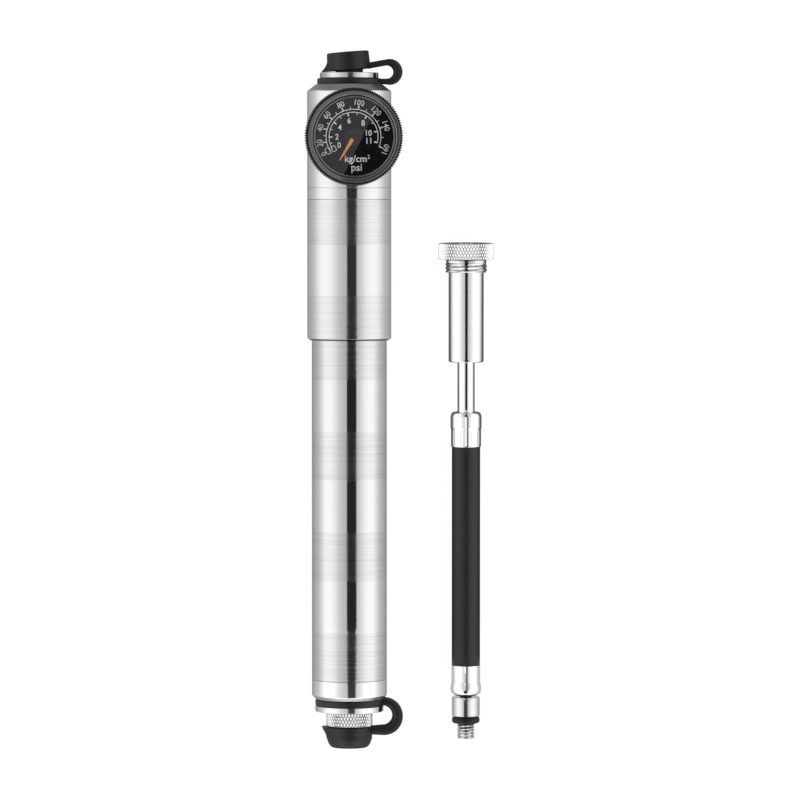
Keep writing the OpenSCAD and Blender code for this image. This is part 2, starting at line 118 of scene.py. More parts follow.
# The gauge's glass, at this height in the gauge's axes, mirrors a pale sheet left of a line across it
# and a black one right of it; the line's ends are in millimetres in the gauge's own plane
GLASS_Z, GLASS_HALF = 21.6, 15.4
GLASS_LINE = [(-4.8, -GLASS_HALF), (10.2, GLASS_HALF)]
GLASS_LIT, GLASS_DARK, GLASS_CARD_HEIGHT = 0.5, 0.07, 0.08
# Small cards over the ferrules, which turn the dark stripe there into a thin grey line beside a white
# one, and over the chuck and the tip, which sharpen it: the stations they cover, the piece's radius,
# then for each card where its left and right edge show on the piece, in degrees from its top, and
# its level
FERRULE_CARDS = {(-16.8, -4.7): (5.15, [(-9, -4, 1.0), (-4, 2, 1.5), (2, 9, 0.3)]),
                 (-93.5, -90): (4.9, [(-9, -5.7, 1.0), (-5.7, 0, 1.5), (0, 8, 0.25)]),
                 (-100.4, -93.5): (5.1, [(-9, -1.5, 0.95), (-1.5, 8, 0.3)]),
                 (12.5, 45.3): (5.87, [(-8, -4, 0.95), (-4, 5, 0.018), (5, 9, 1.0)]),
                 (-115.5, -100.6): (4.75, [(-8.6, 4, 0.06)])}
FERRULE_CARD_HEIGHT = 0.02


def add_camera():
    """A long lens high over the table, a little towards the head's end and looking back."""
    camera = bpy.data.cameras.new("camera")
    camera.lens = CAMERA_LENS
    camera.sensor_width = SENSOR
    camera.clip_end = CLIP_END
    holder = bpy.data.objects.new("camera", camera)
    bpy.context.scene.collection.objects.link(holder)
    holder.location = CAMERA_OVER
    look = CAMERA_AIM - CAMERA_OVER
    holder.rotation_euler = (math.atan2(look.y, -look.z), 0, 0)
    bpy.context.scene.camera = holder


def math_node(tree, operation, *values):
    """A math node fed with numbers or sockets; returns its output."""
    node = tree.nodes.new("ShaderNodeMath")
    node.operation = operation
    for socket, value in zip(node.inputs, values):
        if isinstance(value, (int, float)):
            socket.default_value = value
        else:
            tree.links.new(value, socket)
    return node.outputs[0]


def level_ramp(tree, value, stops):
    """The level at a value, read off (value, level) stops."""
    first, last = stops[0][0], stops[-1][0]
    top = max(level for _, level in stops)
    ramp = tree.nodes.new("ShaderNodeValToRGB")
    elements = ramp.color_ramp.elements
    while len(elements) < len(stops):
        elements.new(0.5)
    for element, (at, level) in zip(elements, stops):
        element.position = (at - first) / (last - first)
        element.color = (level / top,) * 3 + (1,)
    scaled = math_node(tree, "MULTIPLY_ADD", value, 1 / (last - first), -first / (last - first))
    tree.links.new(scaled, ramp.inputs["Fac"])
    return math_node(tree, "MULTIPLY", ramp.outputs["Color"], top)


def seen_apart(tree, to_light, to_eye, surface):
    """One shader for the light and another for what the eye sees directly."""
    path = tree.nodes.new("ShaderNodeLightPath")
    mix = tree.nodes.new("ShaderNodeMixShader")
    tree.links.new(path.outputs["Is Camera Ray"], mix.inputs[0])
    tree.links.new(to_light.outputs[0], mix.inputs[1])
    tree.links.new(to_eye.outputs[0], mix.inputs[2])
    tree.links.new(mix.outputs[0], surface)


def add_world():
    """Soft side light that is even along the pump, as two long soft boxes give it."""
    world = bpy.data.worlds.new("studio")
    bpy.context.scene.world = world
    world.use_nodes = True
    tree = world.node_tree
    place = tree.nodes.new("ShaderNodeTexCoord")
    split = tree.nodes.new("ShaderNodeSeparateXYZ")
    tree.links.new(place.outputs["Generated"], split.inputs[0])
    side = math_node(tree, "ABSOLUTE", split.outputs["X"])
    angle = math_node(tree, "ARCTAN2", side, split.outputs["Z"])
    degrees = math_node(tree, "MULTIPLY", angle, 180 / math.pi)
    along = math_node(tree, "MULTIPLY_ADD", split.outputs["Y"], -STUDIO_SLOPE, 1.0)
    level = math_node(tree, "MULTIPLY", level_ramp(tree, degrees, STUDIO), along)
    back = tree.nodes["Background"]
    seen = tree.nodes.new("ShaderNodeBackground")
    for backdrop in (back, seen):
        backdrop.inputs["Color"].default_value = WHITE
    tree.links.new(level, back.inputs["Strength"])
    seen_apart(tree, back, seen, tree.nodes["World Output"].inputs[0])


def stage_plane(name, corners, material):
    """One flat face of the stage."""
    mesh = bpy.data.meshes.new(name)
    mesh.from_pydata([Vector(corner) for corner in corners], [], [tuple(range(len(corners)))])
    mesh.materials.append(material)
    plane = bpy.data.objects.new(name, mesh)
    bpy.context.scene.collection.objects.link(plane)
    return plane


def floor_material():
    """White to the eye with a faint contact shadow, and a plain white table to the light."""
    material = bpy.data.materials.new("pale_table")
    material.use_nodes = True
    tree = material.node_tree
    tree.nodes.remove(tree.nodes["Principled BSDF"])
    table = tree.nodes.new("ShaderNodeBsdfDiffuse")
    table.inputs["Color"].default_value = (FLOOR_WHITE,) * 3 + (1,)
    shaded = tree.nodes.new("ShaderNodeBsdfDiffuse")
    shaded.inputs["Color"].default_value = (FLOOR_SHADE,) * 3 + (1,)
    glow = tree.nodes.new("ShaderNodeEmission")
    glow.inputs["Strength"].default_value = FLOOR_GLOW
    seen = tree.nodes.new("ShaderNodeAddShader")
    tree.links.new(shaded.outputs[0], seen.inputs[0])
    tree.links.new(glow.outputs[0], seen.inputs[1])
    seen_apart(tree, table, seen, tree.nodes["Material Output"].inputs[0])
    return material


def card_material(name, level):
    """An even glow, or one that follows (height, level) stops."""
    material = bpy.data.materials.new(name)
    material.use_nodes = True
    tree = material.node_tree
    tree.nodes.remove(tree.nodes["Principled BSDF"])
    glow = tree.nodes.new("ShaderNodeEmission")
    if isinstance(level, list):
        place = tree.nodes.new("ShaderNodeTexCoord")
        split = tree.nodes.new("ShaderNodeSeparateXYZ")
        tree.links.new(place.outputs["Object"], split.inputs[0])
        height = math_node(tree, "DIVIDE", split.outputs["Z"], MM)
        tree.links.new(level_ramp(tree, height, level), glow.inputs["Strength"])
    else:
        glow.inputs["Strength"].default_value = level
    tree.links.new(glow.outputs[0], tree.nodes["Material Output"].inputs[0])
    return material


def add_card(name, corners, level):
    """A studio card that only shows in reflections."""
    card = stage_plane(name, corners, card_material(name, level))
    card.visible_camera = False
    card.visible_diffuse = False
    card.visible_shadow = False
    card.visible_volume_scatter = False


def flat_card(name, left, right, near, far, height, level):
    """A level card, given by its edges."""
    corners = [(left, near, height), (right, near, height), (right, far, height), (left, far, height)]
    add_card(name, corners, level)


def side_card(name, x, near, far, levels):
    """An upright card along the row, graded from the table up."""
    foot, top = CARD_FOOT, levels[-1][0] * MM
    add_card(name, [(x, near, foot), (x, far, foot), (x, far, top), (x, near, top)], levels)


def mirrored(x, y):
    """Where the camera's ray through a point of the gauge's glass goes, at the glass cards' height."""
    point = GAUGE @ Vector((x, y, GLASS_Z))
    normal = (GAUGE.to_3x3() @ Vector((0, 0, 1))).normalized()
    ray = (point - CAMERA_OVER).reflect(normal)
    return point + ray * (GLASS_CARD_HEIGHT / ray.z)


def add_glass_cards():
    """The sheet and the flag that the gauge's glass mirrors."""
    half = GLASS_HALF
    lit = [*GLASS_LINE, (-half, half), (-half, -half)]
    dark = [GLASS_LINE[1], GLASS_LINE[0], (half, -half), (half, half)]
    add_card("glass_card", [mirrored(*corner) for corner in lit], GLASS_LIT)
    add_card("glass_flag", [mirrored(*corner) for corner in dark], GLASS_DARK)


def card_edge(axis, radius, degrees):
    """Where across the row a round piece shows a card's edge at an angle from the piece's top."""
    turn = math.radians(degrees)
    rise = FERRULE_CARD_HEIGHT - axis.z - radius * MM * math.cos(turn)
    return axis.x + radius * MM * math.sin(turn) + math.tan(2 * turn) * rise


def add_ferrule_cards():
    """The small cards over the hose's metal pieces."""
    for (low, high), (radius, cards) in FERRULE_CARDS.items():
        near, far = HOSE @ Vector((0, 0, low)), HOSE @ Vector((0, 0, high))
        axis = (near + far) / 2
        for *edges, level in cards:
            left, right = [card_edge(axis, radius, degrees) for degrees in edges]
            flat_card("ferrule_card", left, right, near.y, far.y, FERRULE_CARD_HEIGHT, level)


def add_table():
    """The table that the row lies on."""
    half = FLOOR_SIZE / 2
    stage_plane("table", [(-half, -half, 0), (half, -half, 0), (half, half, 0), (-half, half, 0)],
                floor_material())


def add_gap():
    """The dark gap overhead, one card for each part of the row."""
    ends = [part[0] for part in GAP_PARTS[1:]] + [GAP_REACH]
    for index, ((near, left, right, level), far) in enumerate(zip(GAP_PARTS, ends)):
        flat_card(f"gap_{index}", pump_at.x + left, pump_at.x + right, near, far, GAP_HEIGHT, level)


def add_bevel_flags():
    """The two flags beyond the head."""
    edge = pump_at.x + RIGHT_FLAG_EDGE
    flat_card("bevel_flag", -FLAG_HALF, FLAG_HALF, FLAG_NEAR, BEVEL_FLAG_FAR, *BEVEL_FLAG)
    flat_card("bevel_flag_right", edge, FLAG_HALF, FLAG_NEAR, RIGHT_FLAG_FAR, *RIGHT_FLAG)


def add_pump_cards():
    """The cards on both sides of the pump and under it."""
    left, right = pump_at.x - PUMP_CARD, pump_at.x + PUMP_CARD
    side_card("pump_card_left", left, PUMP_NEAR, PUMP_FAR, PUMP_SIDE)
    side_card("pump_card_right", right, PUMP_NEAR, PUMP_FAR, PUMP_SIDE)
    flat_card("pump_floor", left, right, PUMP_NEAR, FLAG_NEAR, *PUMP_FLOOR)


def add_hose_cards():
    """The cards on both sides of the hose and under it."""
    left, right = hose_at.x - HOSE_CARD, hose_at.x + HOSE_CARD
    for x in (left, right):
        side_card("hose_card", x, HOSE_SPLIT, HOSE_FAR, HOSE_SIDE)
        side_card("tip_card", x, TIP_NEAR, HOSE_SPLIT, TIP_SIDE)
    flat_card("hose_floor", left, right, HOSE_SPLIT, HOSE_FAR, *HOSE_FLOOR)
    flat_card("tip_floor", left, right, TIP_NEAR, HOSE_SPLIT, *TIP_FLOOR)


add_camera()
add_world()
add_table()
add_gap()
add_bevel_flags()
add_pump_cards()
add_hose_cards()
add_glass_cards()
add_ferrule_cards()
bpy.context.scene.view_settings.view_transform = "Standard"


# ---- Materials ----

# Where most of a noise's values lie, and how many patches of handling there are per metre
NOISE_LOW, NOISE_HIGH = 0.3, 0.7
PATCHES = (60.0, 60.0, 60.0)


def noise(tree, grain, detail=3.0):
    """Noise in the row frame, with its own frequency along X, Y and Z, per metre."""
    place = tree.nodes.new("ShaderNodeTexCoord")
    stretch = tree.nodes.new("ShaderNodeMapping")
    stretch.inputs["Scale"].default_value = grain
    texture = tree.nodes.new("ShaderNodeTexNoise")
    texture.inputs["Scale"].default_value = 1
    texture.inputs["Detail"].default_value = detail
    tree.links.new(place.outputs["Object"], stretch.inputs["Vector"])
    tree.links.new(stretch.outputs[0], texture.inputs["Vector"])
    return texture.outputs["Fac"]


def spread(tree, value, low, high):
    """Stretches a noise's usual range to low..high."""
    node = tree.nodes.new("ShaderNodeMapRange")
    node.inputs["From Min"].default_value = NOISE_LOW
    node.inputs["From Max"].default_value = NOISE_HIGH
    node.inputs["To Min"].default_value = low
    node.inputs["To Max"].default_value = high
    tree.links.new(value, node.inputs["Value"])
    return node.outputs[0]


def dirty_shade(tree, shade, groove_shade):
    """The colour darkened by painted shade where the mesh's groove attribute says so."""
    marks = tree.nodes.new("ShaderNodeAttribute")
    marks.attribute_name = "groove"
    unshaded = math_node(tree, "MULTIPLY_ADD", marks.outputs["Fac"], -groove_shade, 1.0)
    scale = tree.nodes.new("ShaderNodeVectorMath")
    scale.operation = "SCALE"
    tree.links.new(shade, scale.inputs[0])
    tree.links.new(unshaded, scale.inputs["Scale"])
    return scale.outputs[0]


def toned(tree, value, color, tone):
    """The colour, a share tone darker where the noise is low and lighter where it is high."""
    ramp = tree.nodes.new("ShaderNodeValToRGB")
    for element, at, side in zip(ramp.color_ramp.elements, (NOISE_LOW, NOISE_HIGH), (-1, 1)):
        element.position = at
        element.color = [min(1.0, channel * (1 + side * tone)) for channel in color] + [1]
    tree.links.new(value, ramp.inputs["Fac"])
    return ramp.outputs["Color"]


def add_relief(tree, shader, height, relief):
    """A fine bump, relief millimetres high."""
    bump = tree.nodes.new("ShaderNodeBump")
    bump.inputs["Strength"].default_value = 1
    bump.inputs["Distance"].default_value = relief * MM
    tree.links.new(height, bump.inputs["Height"])
    tree.links.new(bump.outputs[0], shader.inputs["Normal"])


def finish_look(name, color, roughness, grain, tone=0.05, gloss=0.03, relief=0.0, groove_shade=0.0, **sockets):
    """A procedural finish: fine noise drives the colour and the relief, and broad patches of
    handling drive the gloss with it. Colour is linear; relief is in millimetres; groove_shade is how
    dark the painted shade is in the grooves and seams marked on the mesh."""
    material = bpy.data.materials.new(name)
    material.use_nodes = True
    tree = material.node_tree
    shader = tree.nodes["Principled BSDF"]
    for socket, value in sockets.items():
        shader.inputs[socket.replace("_", " ")].default_value = value
    fine = noise(tree, grain)
    broad = noise(tree, PATCHES, 2.0)
    shade = toned(tree, fine, color, tone)
    # Painted shade: darkens the colour in the grooves and seams marked on the mesh.
    if groove_shade:
        shade = dirty_shade(tree, shade, groove_shade)
    tree.links.new(shade, shader.inputs["Base Color"])
    mixed = math_node(tree, "MULTIPLY_ADD", fine, 0.5, math_node(tree, "MULTIPLY", broad, 0.5))
    rough = spread(tree, mixed, max(0.0, roughness - gloss), roughness + gloss)
    tree.links.new(rough, shader.inputs["Roughness"])
    if relief:
        add_relief(tree, shader, fine, relief)
    return material


# Grains, per metre along X, Y and Z: turned rings across the row's Y, finer ones, and even grains
TURNED_RINGS = (60, 2600, 60)
FINE_RINGS = (40, 3200, 40)
EVEN = (2500, 2500, 2500)
SOFT = (1500, 1500, 1500)
COARSE = (900, 900, 900)

# Several finishes below darken the grooves and seams marked on their meshes, as painted shade.
ringed_alloy = finish_look("ringed_alloy", (0.43, 0.43, 0.433), 0.15, (25, 1900, 25), tone=0.06, gloss=0.04,
                           relief=0.002, groove_shade=0.85, Metallic=1.0)
smooth_alloy = finish_look("smooth_alloy", (0.47, 0.47, 0.472), 0.09, FINE_RINGS, tone=0.012, gloss=0.02,
                           groove_shade=0.85, Metallic=1.0)
band_alloy = finish_look("band_alloy", (0.545, 0.545, 0.547), 0.1, FINE_RINGS, tone=0.02, gloss=0.02,
                         Metallic=1.0)
bevel_alloy = finish_look("bevel_alloy", (0.42, 0.42, 0.422), 0.32, (300, 300, 300), tone=0.05, gloss=0.05,
                          Metallic=1.0)
turned_metal = finish_look("turned_metal", (0.56, 0.56, 0.563), 0.1, TURNED_RINGS, tone=0.03, gloss=0.02,
                           relief=0.0008, groove_shade=0.5, Metallic=1.0)
satin_metal = finish_look("satin_metal", (0.5, 0.5, 0.503), 0.16, TURNED_RINGS, tone=0.04, gloss=0.02,
                          relief=0.0002, groove_shade=0.5, Metallic=1.0)
# Near-black steel for the tip's barb: painted shade, as the barb's neck lies in deep shade between the two
# ferrules.
shaded_barb_steel = finish_look("shaded_barb_steel", (0.03, 0.03, 0.031), 0.3, EVEN, Metallic=1.0)
bezel_face = finish_look("bezel_face", (0.034, 0.034, 0.035), 0.06, EVEN, tone=0.1, gloss=0.02,
                         IOR=2.3)
looks = {
    "brushed_alloy": smooth_alloy,
    "knurled_alloy": finish_look("knurled_alloy", (0.78, 0.78, 0.785), 0.2, EVEN, tone=0.04, groove_shade=0.8,
                                 Metallic=1.0),
    "plain_alloy": finish_look("plain_alloy", (0.55, 0.55, 0.555), 0.16, FINE_RINGS, tone=0.03, Metallic=1.0),
    "hose_metal": finish_look("hose_metal", (0.66, 0.66, 0.665), 0.06, (500, 900, 500), tone=0.02,
                              gloss=0.015, groove_shade=0.6, Metallic=1.0),
    "steel": finish_look("steel", (0.5, 0.5, 0.51), 0.2, EVEN, Metallic=1.0),
    "brass": finish_look("brass", (0.6, 0.4, 0.16), 0.22, FINE_RINGS, Metallic=1.0),
    "black_metal": finish_look("black_metal", (0.009, 0.009, 0.0095), 0.34, EVEN, tone=0.2, relief=0.003,
                               Specular_IOR_Level=0.12),
    "dial_face": finish_look("dial_face", (0.0012, 0.0012, 0.0013), 0.7, EVEN, tone=0.2,
                             Specular_IOR_Level=0.02),
    "dial_print": finish_look("dial_print", (0.96, 0.96, 0.96), 0.6, EVEN, tone=0.04),
    "needle_paint": finish_look("needle_paint", (1.0, 0.35, 0.045), 0.5, COARSE, tone=0.05,
                                relief=0.002),
    "gauge_glass": finish_look("gauge_glass", (0.99, 0.99, 0.99), 0.01, (50, 50, 50), tone=0.01, gloss=0.004,
                               Transmission_Weight=1.0, IOR=1.49),
    "cap_rubber": finish_look("cap_rubber", (0.0055, 0.0055, 0.0058), 0.4, SOFT, tone=0.18,
                              gloss=0.06, relief=0.006, Specular_IOR_Level=0.27),
    "hose_rubber": finish_look("hose_rubber", (0.009, 0.009, 0.0095), 0.34, (2200, 500, 2200), tone=0.12,
                               gloss=0.04, relief=0.003, Specular_IOR_Level=0.25),
    "seal_rubber": finish_look("seal_rubber", (0.006, 0.006, 0.006), 0.4, SOFT, tone=0.15,
                               relief=0.003, Specular_IOR_Level=0.2),
    "guide_plastic": finish_look("guide_plastic", (0.05, 0.05, 0.055), 0.5, COARSE, tone=0.1,
                                 relief=0.006),
}


# ---- Building solids ----

def rounded(corners, steps=4, guard=0.06):
    """An outline whose corners may carry a third number, how far back from the corner it is rounded.
    Two guard points beside each rounding keep the flats flat under smooth shading."""
    points = []
    for index, corner in enumerate(corners):
        here = Vector(corner[:2])
        if len(corner) == 2:
            points.append(here)
            continue
        before = Vector(corners[index - 1][:2]) - here
        after = Vector(corners[(index + 1) % len(corners)][:2]) - here
        reach = min(corner[2], 0.45 * before.length, 0.45 * after.length)
        start = here + before.normalized() * reach
        end = here + after.normalized() * reach
        points.append(here + before.normalized() * (reach + min(guard, 0.1 * before.length)))
        for step in range(steps + 1):
            t = step / steps
            points.append(start * (1 - t) ** 2 + here * 2 * t * (1 - t) + end * t * t)
        points.append(here + after.normalized() * (reach + min(guard, 0.1 * after.length)))
    return points


def bridge(lower, upper):
    """Faces between two rings of vertices, either of which may be a single point on the axis."""
    if len(lower) == 1 and len(upper) == 1:
        return []
    count = max(len(lower), len(upper))
    faces = []
    for index in range(count):
        following = (index + 1) % count
        face = [lower[index % len(lower)], lower[following % len(lower)],
                upper[following % len(upper)], upper[index % len(upper)]]
        faces.append(list(dict.fromkeys(face)))
    return faces


def revolved(outline, segments=128, relief=None):
    """Vertices and faces of a closed solid of revolution about local Z.
    relief(radius, station, angle) gives the point's new radius and station."""
    verts, rings = [], []
    for radius, station in outline:
        ring = []
        for step in range(1 if radius < 1e-6 else segments):
            angle = 2 * math.pi * step / segments
            r, z = relief(radius, station, angle) if relief else (radius, station)
            ring.append(len(verts))
            verts.append(Vector((r * math.cos(angle), r * math.sin(angle), z)))
        rings.append(ring)
    faces = []
    for lower, upper in zip(rings, rings[1:] + rings[:1]):
        faces += bridge(lower, upper)
    return verts, faces


def lofted(sections):
    """Vertices and faces of a closed solid through sections with the same number of points."""
    verts = [Vector(point) for section in sections for point in section]
    size = len(sections[0])
    rings = [list(range(start, start + size)) for start in range(0, len(verts), size)]
    faces = [rings[0], rings[-1]]
    for lower, upper in zip(rings, rings[1:]):
        faces += bridge(lower, upper)
    return verts, faces


def mark_zone(mesh, verts, faces, zone):
    """Gives the mesh's second material to the faces for which zone(radius, station) is true."""
    for polygon, face in zip(mesh.polygons, faces):
        middle = sum((verts[index] for index in face), Vector()) / len(face)
        polygon.material_index = int(zone(math.hypot(middle.x, middle.y), middle.z))


def face_outward(mesh):
    """Turns every face of a closed mesh outward."""
    skin = bmesh.new()
    skin.from_mesh(mesh)
    bmesh.ops.recalc_face_normals(skin, faces=skin.faces)
    skin.to_mesh(mesh)
    skin.free()


def mark_grooves(mesh, verts, groove):
    """Stores how deep in a groove or shaded seam each point is, from 0 to 1, for the finish to darken as painted
    shade.
    """
    marks = mesh.attributes.new("groove", "FLOAT", "POINT")
    marks.data.foreach_set("value", [groove(math.hypot(v.x, v.y), v.z, math.atan2(v.y, v.x)) for v in verts])


def build(name, solid, place, body, slot, look=None, nodes=(), zone=None, zone_look=None, sharp=SHARP,
          groove=None):
    """Makes the piece, lets it ride on its body and hides the CAD nodes it stands for. Faces in the
    zone take zone_look, and groove(radius, station, angle) says how deep in a groove or shaded seam a
    point is, for the finish's painted shade."""
    verts, faces = solid
    mesh = bpy.data.meshes.new(name)
    mesh.from_pydata([place @ vert for vert in verts], [], faces)
    mesh.materials.append(look or looks[slot])
    if zone:
        mesh.materials.append(zone_look)
        mark_zone(mesh, verts, faces, zone)
    face_outward(mesh)
    # Painted shade: records how deep each point lies in a groove or shaded seam, for the finish to darken.
    if groove:
        mark_grooves(mesh, verts, groove)
    mesh.polygons.foreach_set("use_smooth", [True] * len(mesh.polygons))
    mesh.set_sharp_from_angle(angle=sharp)
    piece = bpy.data.objects.new(name, mesh)
    bpy.context.scene.collection.objects.link(piece)
    if body:
        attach(piece, body)
    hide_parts(*nodes)
    return piece


def smooth_step(value, low, high):
    """0 up to low, 1 from high on, and a smooth rise between."""
    t = min(1.0, max(0.0, (value - low) / (high - low)))
    return t * t * (3 - 2 * t)


def end_fade(station, low, high, reach):
    """1 between two ends, falling to 0 at each over the reach."""
    return min(smooth_step(station, low, low + reach), 1 - smooth_step(station, high - reach, high))


def crossing(count, pitch, station, angle):
    """How deep a point is in crossed helical grooves, from 0 on a diamond to 1 in a groove."""
    around = count * angle / (2 * math.pi)
    along = station / pitch
    return max(abs((around + along) % 1 - 0.5), abs((around - along) % 1 - 0.5)) * 2


def knurl(count, pitch, depth, low, high, skin):
    """Crossed helical grooves that leave diamonds, on the wall outside radius skin."""
    def relief(radius, station, angle):
        if radius < skin or not low <= station <= high:
            return radius, station
        return radius - depth * crossing(count, pitch, station, angle) ** 3, station
    return relief


def thread(pitch, depth, low, high, skin):
    """A right-handed helical ridge on the wall outside radius skin, faded out at its ends."""
    def relief(radius, station, angle):
        if radius < skin or not low <= station <= high:
            return radius, station
        turn = (station / pitch - angle / (2 * math.pi)) % 1
        ridge = 1 - abs(2 * turn - 1)
        ends = end_fade(station, low, high, 0.4 * pitch)
        return radius - depth * (1 - ridge * (0.4 + 0.6 * ends)), station
    return relief


def wall(radius, start, end, step):
    """Evenly spaced points along a straight wall."""
    count = max(2, round(abs(end - start) / step))
    return [(radius, start + (end - start) * index / count) for index in range(count + 1)]


# Turning marks: how deep they go, how far apart they are, and how far apart points are without them
RING_DEPTH, RING_PITCH, PLAIN_PITCH = 0.012, (0.2, 0.45), 3.0


def ringed_wall(radius, start, end, bands):
    """Points along a turned wall, with uneven fine rings inside the bands and polished between."""
    points = []
    edges = sorted({start, end, *(edge for band in bands for edge in band if start < edge < end)})
    for low, high in zip(edges, edges[1:]):
        cut = any(band[0] <= (low + high) / 2 <= band[1] for band in bands)
        station = low
        while station < high:
            points.append((radius - (dice.uniform(0, RING_DEPTH) if cut else 0), station))
            station += dice.uniform(*RING_PITCH) if cut else PLAIN_PITCH
    points.append((radius, end))
    return points


def in_bands(bands, skin):
    """A zone: the outer wall inside any of the bands."""
    return lambda radius, station: radius > skin and any(low < station < high for low, high in bands)


# ---- Head, collar, sleeve and handle ----

GRIP_R, GRIP_BORE, HANDLE_R, HANDLE_BORE = 14, 13.1, 12.5, 11.1
HANDLE_END, HANDLE_TOP = -93.5, 58
SLEEVE_END, COLLAR_END, HEAD_END, HEAD_TOP = 19.8, 66.7, 70.5, 104.9
OUTLET_R = 3.05
# The handle is turned in bands, ringed and polished by turns, and the sleeve has one at each end
BAND_PITCH, BAND_LENGTH = 33.45, 16.3
HANDLE_BANDS = [(HANDLE_END + k * BAND_PITCH, HANDLE_END + k * BAND_PITCH + BAND_LENGTH) for k in range(4)]
SLEEVE_BANDS = [(SLEEVE_END, SLEEVE_END + 15), (COLLAR_END - 15.2, COLLAR_END)]
# The storage plug's diamonds: how many grooves each way, their pitch, their depth
PLUG_COUNT, PLUG_PITCH, PLUG_DEPTH = 46, 2.1, 0.3


def sleeve_groove(radius, station, angle):
    """The dark line under the sleeve's edge, painted shade for the gap there, and the dark seam below the collar.
    """
    return 1 if station < SLEEVE_END + 0.51 or station > COLLAR_END - 0.05 else 0


def plug_groove(radius, station, angle):
    """Painted shade in the grooves between the plug's diamonds."""
    return crossing(PLUG_COUNT, PLUG_PITCH, station, angle) ** 3


build("head_shell", revolved(rounded([
    (10.5, 60), (GRIP_BORE, 60), (GRIP_BORE, HEAD_END), (GRIP_R, HEAD_END, 0.18), (GRIP_R, 102.55, 0.3),
    (11, HEAD_TOP, 0.12), (1.3, HEAD_TOP), (1.3, 88), (3.2, 88), (3.2, 80), (10.5, 80)]), 192),
    PUMP, "head", "brushed_alloy", nodes=["head_body"],
    zone=lambda radius, station: radius > 10.9 and station > 102.8, zone_look=bevel_alloy)
build("gauge_seat", revolved(rounded([(3.5, 9), (9.5, 9), (9.5, 15.2, 0.4), (3.5, 15.2)]), 96),
      GAUGE, "head", "brushed_alloy")
build("outlet_flange", revolved(rounded([
    (OUTLET_R, HEAD_TOP), (8.6, HEAD_TOP), (8.6, 106.9), (9.75, 106.9, 0.15), (9.75, 108.7, 0.2),
    (4.6, 108.7), (4.6, 111.7, 0.6), (OUTLET_R, 111.7, 0.2)]), 160),
    PUMP, "head", "brushed_alloy", look=ringed_alloy, nodes=["outlet_fitting"],
    # The spigot above the flange takes the black finish, which darkens the gap under the tilted cap.
    zone=lambda radius, station: radius < 9 and station > 108.72, zone_look=looks["black_metal"])
build("collar", revolved(rounded([
    (GRIP_BORE, COLLAR_END), (GRIP_R, COLLAR_END, 0.12),
    *wall(GRIP_R, COLLAR_END + 0.5, HEAD_END - 0.5, 0.5), (GRIP_R, HEAD_END, 0.15), (GRIP_BORE, HEAD_END)]),
    192),
    PUMP, "head", "brushed_alloy", nodes=["collar_ring"])
build("sleeve", revolved([
    (GRIP_BORE, SLEEVE_END), (13.3, SLEEVE_END), (13.3, SLEEVE_END + 0.5), (13.9, SLEEVE_END + 0.52),
    (GRIP_R, SLEEVE_END + 0.6),
    *ringed_wall(GRIP_R, SLEEVE_END + 0.8, COLLAR_END - 0.15, SLEEVE_BANDS), (13.85, COLLAR_END),
    (GRIP_BORE, COLLAR_END)], 192),
    PUMP, "head", "brushed_alloy", nodes=["grip_sleeve"],
    zone=in_bands(SLEEVE_BANDS, 13.6), zone_look=ringed_alloy, groove=sleeve_groove)
build("handle_barrel", revolved([
    (HANDLE_BORE, HANDLE_END), (12.35, HANDLE_END),
    *ringed_wall(HANDLE_R, HANDLE_END + 0.12, 57.7, HANDLE_BANDS),
    (12.3, HANDLE_TOP), (HANDLE_BORE, HANDLE_TOP)], 192),
    PUMP, "handle", "brushed_alloy", nodes=["handle_tube"],
    zone=in_bands(HANDLE_BANDS, 12.2), zone_look=ringed_alloy)
build("handle_end", revolved(rounded([
    (7, -104.1), (11.4, -104.1, 0.15), (11.4, -102.3, 0.15), (9.4, -102.3), (9.4, -100.1),
    (11.2, -100.1, 0.12), (HANDLE_R, -98.7, 0.2), (HANDLE_R, HANDLE_END, 0.2), (HANDLE_BORE, HANDLE_END),
    (HANDLE_BORE, -87.5), (7, -87.5)]), 192),
    PUMP, "handle", "brushed_alloy", look=band_alloy, nodes=["end_cap"],
    zone=lambda radius, station: radius > 11 and -100 < station < -98.9, zone_look=bevel_alloy)
build("knurled_plug", revolved([
    (0, -112.2), (4.4, -112.2), (5, -111.6), (5, -109.2), (7.35, -109.2), *wall(7.7, -108.95, -104.35, 0.16),
    (7.35, -104.12), (6.95, -104.12), (6.95, -99.1), (0, -99.1)], 552,
    knurl(PLUG_COUNT, PLUG_PITCH, PLUG_DEPTH, -109.0, -104.3, 7.5)),
    PUMP, "handle", "knurled_alloy", nodes=["store_plug"], groove=plug_groove)


# ---- Valve spring ----

SPRING_LOW, SPRING_HIGH, SPRING_KEEP = 82.05, 87.95, 0.83
SPRING_R, WIRE_R, SPRING_TURNS = 1.8, 0.25, 4
TURN_STEPS, WIRE_SIDES = 20, 8


def wire_section(turn, middle):
    """The round wire's section at an angle and a station of the coil."""
    ring = []
    for side in range(WIRE_SIDES):
        reach = SPRING_R + WIRE_R * math.cos(2 * math.pi * side / WIRE_SIDES)
        rise = WIRE_R * math.sin(2 * math.pi * side / WIRE_SIDES)
        ring.append((reach * math.cos(turn), reach * math.sin(turn), middle + rise))
    return ring


def coil():
    """A helical spring of round wire."""
    count = SPRING_TURNS * TURN_STEPS
    start, rise = SPRING_LOW + WIRE_R, SPRING_HIGH - SPRING_LOW - 2 * WIRE_R
    return lofted([wire_section(2 * math.pi * SPRING_TURNS * step / count, start + rise * step / count)
                   for step in range(count + 1)])


spring = build("return_spring", coil(), PUMP, "head", "steel", nodes=["valve_spring"])
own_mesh(spring)


# ---- Gauge ----

BEZEL_TEETH, TOOTH_DEPTH, TOOTH_SKIN = 120, 0.45, 15.7


